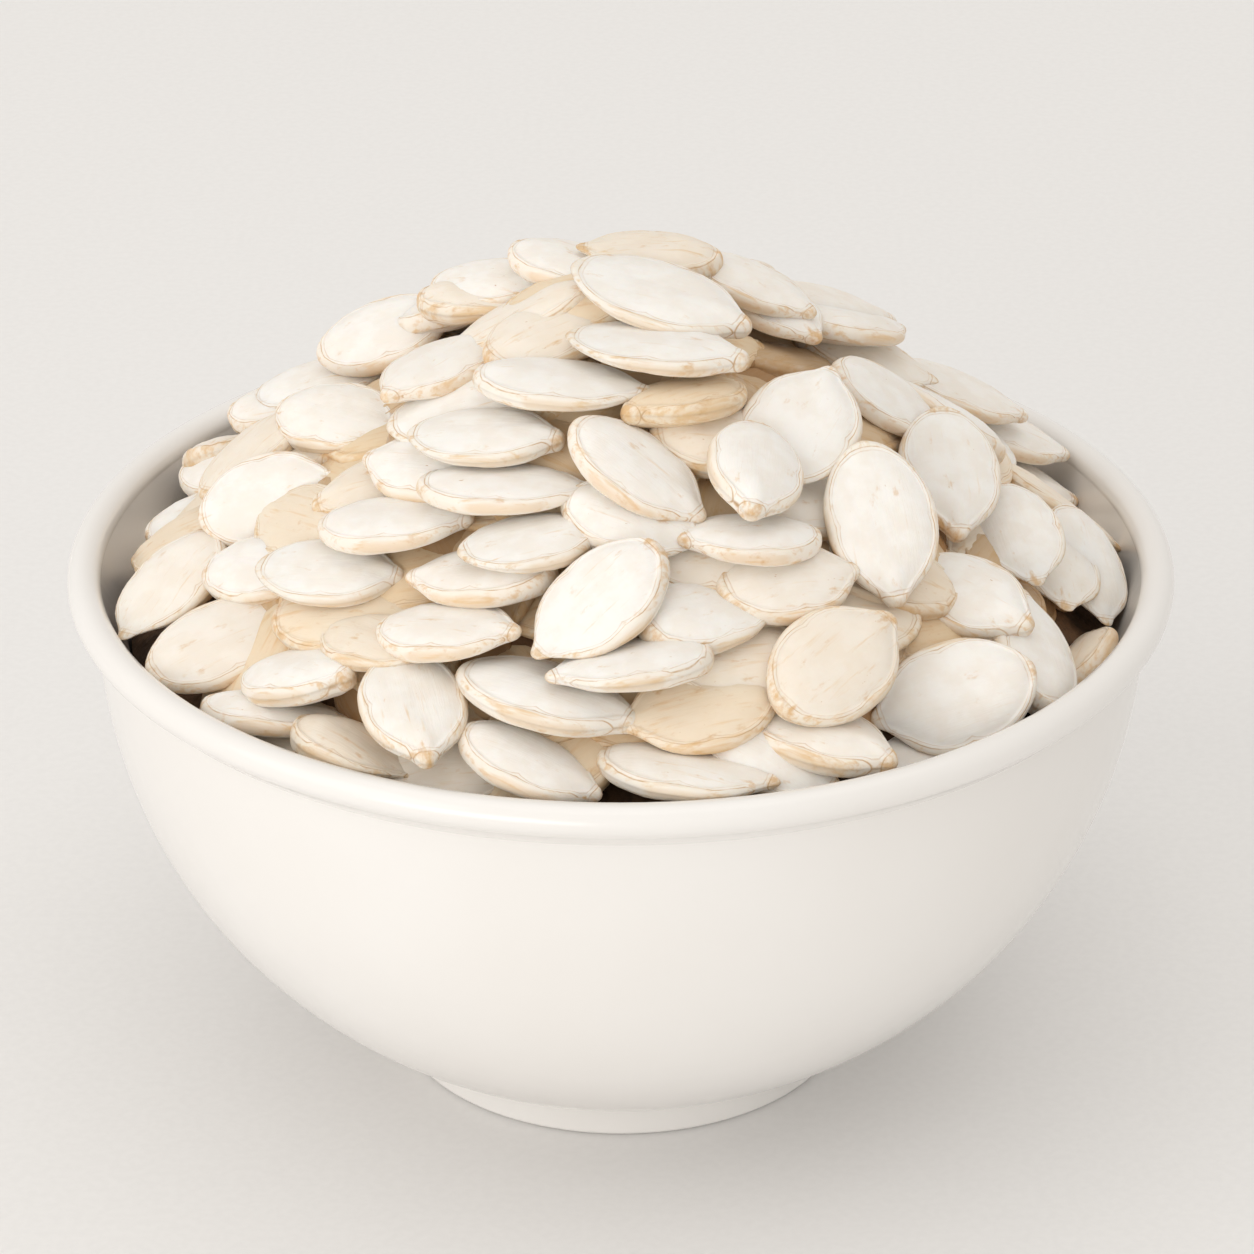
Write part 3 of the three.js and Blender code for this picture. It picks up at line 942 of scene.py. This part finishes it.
def half_sizes(run_length, shown_half, size):
    """Half of a seed's length and width, from half of what shows of each and its usual size.

    A seed that looks broad for its length is seen along its length, with its whole width showing.
    One that looks slender is seen across, with its whole length showing.
    """
    usual_half = SEED_LENGTH / 2 * size
    if shown_half > SEED_ASPECT * run_length:
        half_width = shown_half / MOST_WIDTH_SHOWN
        half_length = max(min(half_width / SEED_ASPECT, usual_half), run_length / MOST_LENGTH_SHOWN)
    else:
        half_length = max(usual_half * LEAST_LENGTH, run_length / MOST_LENGTH_SHOWN)
        half_width = max(half_length * SEED_ASPECT, shown_half / MOST_WIDTH_SHOWN)
    return half_length, half_width


def flat_lie(run_direction, likely):
    """The length and width directions of a seed that lies in the heap's own plane."""
    foreshortening = max(TO_CAMERA.dot(likely), 0.3)
    in_plane = run_direction - TO_CAMERA * run_direction.dot(likely) / foreshortening
    return in_plane.normalized(), likely.cross(in_plane)


def likeliest_lie(run_direction, run_length, shown_half, halves, likely):
    """The length and width directions of a seed that looks like this and lies nearest to the
    heap's own plane. Its tip may be nearer to the camera or further off, and so may its side."""
    half_length, half_width = halves
    # The rim's thickness adds to what shows across a seed that is seen nearly edge on
    rim = RIM_SHOWN * (SEED_THICKNESS / 2 * MM)
    flat_half = math.sqrt(max(shown_half**2 - rim**2, (LEAST_FLAT_SHOWN * half_width) ** 2))
    flat_half = min(flat_half, MOST_FLAT_SHOWN * half_width)
    side_direction = TO_CAMERA.cross(run_direction)
    rise = math.sqrt(half_length**2 - run_length**2)
    lean = math.sqrt(half_width**2 - flat_half**2)
    best = None
    for rise_sign in (1, -1):
        along = run_direction * run_length + TO_CAMERA * rise * rise_sign
        for lean_sign in (1, -1):
            tilt = (run_direction * -rise * rise_sign + TO_CAMERA * run_length) / half_length
            across = side_direction * flat_half + tilt * lean * lean_sign
            facing = along.cross(across).normalized()
            if facing.dot(TO_CAMERA) < 0:
                facing, across = -facing, -across
            fit = facing.dot(likely)
            if best is None or fit > best[0]:
                best = (fit, along, across)
    _, along, across = best
    return along, across


def seen_pose(seen, random_draw):
    """Works out how a seed lies from how it looks: its middle, its length and width directions,
    and half of its length and width."""
    middle = ((seen.tip[0] + seen.end[0]) / 2, (seen.tip[1] + seen.end[1]) / 2)
    place = meets_heap(middle)
    depth = (CAMERA_PLACE - place).dot(TO_CAMERA)
    metres = depth / PIXELS_ACROSS_A_RADIAN
    run = Vector((seen.tip[0] - seen.end[0], seen.end[1] - seen.tip[1])) * metres / 2
    shown_half = seen.across * metres / 2
    halves = half_sizes(run.length, shown_half, random_draw.uniform(*SEEN_SIZES) * MM)
    run_direction = (VIEW_RIGHT * run.x + VIEW_UP * run.y).normalized()
    likely = (heap_normal(place) + SEEN_LEVELLING * UP).normalized()
    if seen.layer in FLAT_LAYERS:
        # Only a part of it shows, so it is taken to lie flat under the others
        along, across = flat_lie(run_direction, likely)
    else:
        along, across = likeliest_lie(run_direction, run.length, shown_half, halves, likely)
    return place, along, across, halves


def choose_kind(half_length, half_width, random_draw):
    """The kind whose shape is nearest, with a little chance in it."""
    wanted = half_width / half_length

    def distance(kind):
        return abs(kind.width / kind.length - wanted) + random_draw.uniform(0, KIND_SPREAD)

    return min(SEED_KINDS, key=distance)


def lay_seen(heap, random_draw):
    """Lays the seeds that show, the deepest first, each moved only along its own line of sight."""
    for seen in sorted(SEEN_SEEDS, key=lambda s: s.layer):
        place, along, across, (half_length, half_width) = seen_pose(seen, random_draw)
        kind = choose_kind(half_length, half_width, random_draw)
        sizes = (
            half_length / (kind.length / 2 * MM),
            half_width / (kind.width / 2 * MM),
            random_draw.uniform(*SEEN_THICKNESSES),
        )
        outwards = (CAMERA_PLACE - place).normalized()
        start = pose(place, along, across, sizes)
        depth = LAYER_DEPTHS[seen.layer]
        rise = TOP_LAYER_RISE if seen.layer == TOP_LAYER else LAYER_RISE
        settled = heap.settled(kind.name, start, outwards, depth, rise, LAYER_SINK)
        heap.add(kind.name, heap.kept_inside(kind.name, settled), seen.tan, True)


def places_on_ring(coat, ring_radius, random_draw):
    """Places on the heap's outline, one after the other around a ring, each a little off it."""
    count = max(1, round(2 * math.pi * ring_radius / coat.seed_step))
    start = random_draw.uniform(0, 2 * math.pi)
    for i in range(count):
        off_step = random_draw.uniform(-PLACE_SPREAD, PLACE_SPREAD)
        angle = start + 2 * math.pi * (i + off_step) / count
        off_ring = random_draw.uniform(-PLACE_SPREAD, PLACE_SPREAD) * coat.ring_step
        radius = (ring_radius + off_ring) * MM
        yield Vector((radius * math.cos(angle), radius * math.sin(angle), heap_height(radius)))


def coat_pose(coat, ring_radius, place, random_draw):
    """How a seed of a coat lies at a place: nearly level with the heap, and along the wall where
    it is near to it."""
    size = random_draw.uniform(*COAT_SIZES)
    lean = Vector([random_draw.gauss(0, coat.tilt) for _ in range(3)])
    facing = (heap_normal(place) + COAT_LEVELLING * UP + lean).normalized()
    heading = random_draw.uniform(0, 2 * math.pi)
    if ring_radius > WALL_RING_RADIUS:
        heading = random_draw.gauss(0, HEADING_SPREAD)
    level = UP.cross(place).cross(facing).cross(facing).normalized()
    along = Matrix.Rotation(heading, 3, facing) @ level
    return pose(place, along, facing.cross(along), (size, size, size))


def lay_coat(heap, random_draw, coat, wanted):
    """Lays a coat of seeds by a rule, ring by ring from the wall to the top."""
    ring_radius = coat.first_radius
    while ring_radius > 2:
        for place in places_on_ring(coat, ring_radius, random_draw):
            kind = random_draw.choice(SEED_KINDS)
            start = coat_pose(coat, ring_radius, place, random_draw)
            tan = random_draw.uniform(*coat.tans)
            normal = heap_normal(place)
            if wanted(heap, coat, place, normal):
                settled = heap.settled(kind.name, start, normal, coat.depth, coat.rise, coat.sink)
                heap.add(kind.name, heap.kept_inside(kind.name, settled), tan, coat.fine)
        ring_radius -= coat.ring_step


# The cosine between the line of sight and the heap's normal past which a place is out of sight,
# and up to which a bare place is filled for each millimetre of a coat's depth
OUT_OF_SIGHT = -0.05
SIGHT_FOR_DEPTH = 0.1
# A place is bare where no seed paler than this lies within reach, in mm
BARE_TAN = 0.49
COVER_REACH = 10


def at_the_back(heap, coat, place, normal):
    """Whether a place is out of the camera's sight, or near to that and bare. A deeper coat
    reaches further round."""
    sight = normal.dot((CAMERA_PLACE - place).normalized())
    if sight < OUT_OF_SIGHT:
        return True
    pale = [s for s in heap.seeds if s.tan < BARE_TAN]
    covered = any((s.centre - place).length < COVER_REACH * MM for s in pale)
    return sight < SIGHT_FOR_DEPTH * coat.depth and not covered


def anywhere(heap, coat, place, normal):
    return True


def build_core():
    """The core under the seeds: the bowl's inside with a gap, closed above by a bare mound."""
    steps = 24
    edge = HEAP_RADIUS * CORE_EDGE_SHARE
    top = []
    for i in range(steps + 1):
        radius = edge * i / steps
        top.append((radius, heap_height(radius * MM) / MM - CORE_DEPTH))
    lower = inside_curve(CORE_GAP, top=top[-1][1] - CORE_EDGE_DROP)
    core = spun("seeds_core", top + lower)
    core.data.materials.append(core_material())
    return core


# How far a seed's pattern may be shifted, in mm
PATTERN_REACH = 400


def copy_seed(heap, placed, number, random_draw):
    """One seed of the heap as a mesh object in its place, with its own pattern."""
    mesh = heap.kinds[placed.kind, placed.fine].data.copy()
    mesh.transform(placed.matrix)
    shift = [random_draw.uniform(-PATTERN_REACH, PATTERN_REACH) for _ in range(3)]
    draw = mesh.attributes.new("draw", "FLOAT_VECTOR", "POINT")
    draw.data.foreach_set("vector", shift * len(mesh.vertices))
    tan = mesh.attributes.new("tan", "FLOAT", "POINT")
    tan.data.foreach_set("value", [placed.tan] * len(mesh.vertices))
    seed = bpy.data.objects.new(f"{placed.kind}_{number}", mesh)
    bpy.context.scene.collection.objects.link(seed)
    return seed


def join_kind(heap, name, shell, random_draw):
    """All seeds of one kind as one piece."""
    copies = [copy_seed(heap, s, i, random_draw) for i, s in enumerate(heap.seeds) if s.kind == name]
    deselect_all()
    for seed in copies:
        seed.select_set(True)
    bpy.context.view_layer.objects.active = copies[0]
    bpy.ops.object.join()
    piece = bpy.context.object
    for fine in (True, False):
        bpy.data.objects.remove(heap.kinds[name, fine])
    piece.name = piece.data.name = name
    piece.data.materials.clear()
    piece.data.materials.append(shell)
    return piece


def build_seeds():
    random_draw = random.Random(RANDOM_SEED)
    core = build_core()
    kinds = {}
    for kind in SEED_KINDS:
        for fine in (True, False):
            kinds[kind.name, fine] = model_seed(kind, fine)
    heap = Heap(kinds)
    lay_coat(heap, random_draw, BOTTOM_COAT, anywhere)
    lay_coat(heap, random_draw, MIDDLE_COAT, anywhere)
    lay_coat(heap, random_draw, WALL_COAT, anywhere)
    lay_seen(heap, random_draw)
    for coat in BACK_COATS:
        lay_coat(heap, random_draw, coat, at_the_back)
    shell = shell_material()
    pieces = [join_kind(heap, kind.name, shell, random_draw) for kind in SEED_KINDS]
    for piece in (core, *pieces):
        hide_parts("seeds")
        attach(piece, "root")


# ---------------- the studio

def build_floor():
    deselect_all()
    bpy.ops.mesh.primitive_plane_add(size=8)
    floor = bpy.context.object
    floor.name = floor.data.name = "floor"
    floor.data.materials.append(table_material())
    floor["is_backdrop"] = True


WINDOW_WHITE = (1.0, 0.985, 0.965)
ROOM_WHITE = (1.0, 0.975, 0.94)
ROOM_STRENGTH = 0.78
LIGHT_TARGET = Vector((0, 0, 50 * MM))


def add_area_light(name, place, size, power, colour):
    """A round soft light, pointed at the middle of the bowl."""
    light = bpy.data.lights.new(name, "AREA")
    light.shape = "DISK"
    light.size = size
    light.energy = power
    light.color = colour
    lamp = bpy.data.objects.new(name, light)
    lamp.location = place
    lamp.rotation_euler = (LIGHT_TARGET - Vector(place)).to_track_quat("-Z", "Y").to_euler()
    bpy.context.scene.collection.objects.link(lamp)


def build_light():
    add_area_light("window", place=(-1.4, -0.8, 1.05), size=1.6, power=6.2, colour=WINDOW_WHITE)
    add_area_light("front_fill", place=(-0.7, -1.4, 0.06), size=1.2, power=11.5, colour=ROOM_WHITE)
    add_area_light("overhead", place=(0.1, 0.1, 1.75), size=1.8, power=5.0, colour=ROOM_WHITE)
    world = bpy.data.worlds.new("soft_room")
    bpy.context.scene.world = world
    world.use_nodes = True
    background = world.node_tree.nodes["Background"]
    background.inputs["Color"].default_value = (*ROOM_WHITE, 1)
    background.inputs["Strength"].default_value = ROOM_STRENGTH


def build_camera():
    camera = bpy.data.cameras.new("camera")
    camera.sensor_width = SENSOR
    camera.lens = SENSOR * PIXELS_ACROSS_A_RADIAN / PHOTO_SIDE
    camera.clip_start = 0.01
    holder = bpy.data.objects.new("camera", camera)
    holder.location = CAMERA_PLACE
    holder.rotation_euler = (-TO_CAMERA).to_track_quat("-Z", "Y").to_euler()
    bpy.context.scene.collection.objects.link(holder)
    bpy.context.scene.camera = holder


def write_sizes():
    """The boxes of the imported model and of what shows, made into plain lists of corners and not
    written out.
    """
    boxes = {"model": model_box, "visual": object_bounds()}
    plain = {name: [list(map(float, corner)) for corner in box] for name, box in boxes.items()}


build_camera()
build_light()
build_floor()
build_bowl()
build_seeds()
bpy.context.scene.view_settings.view_transform = "Standard"
write_sizes()
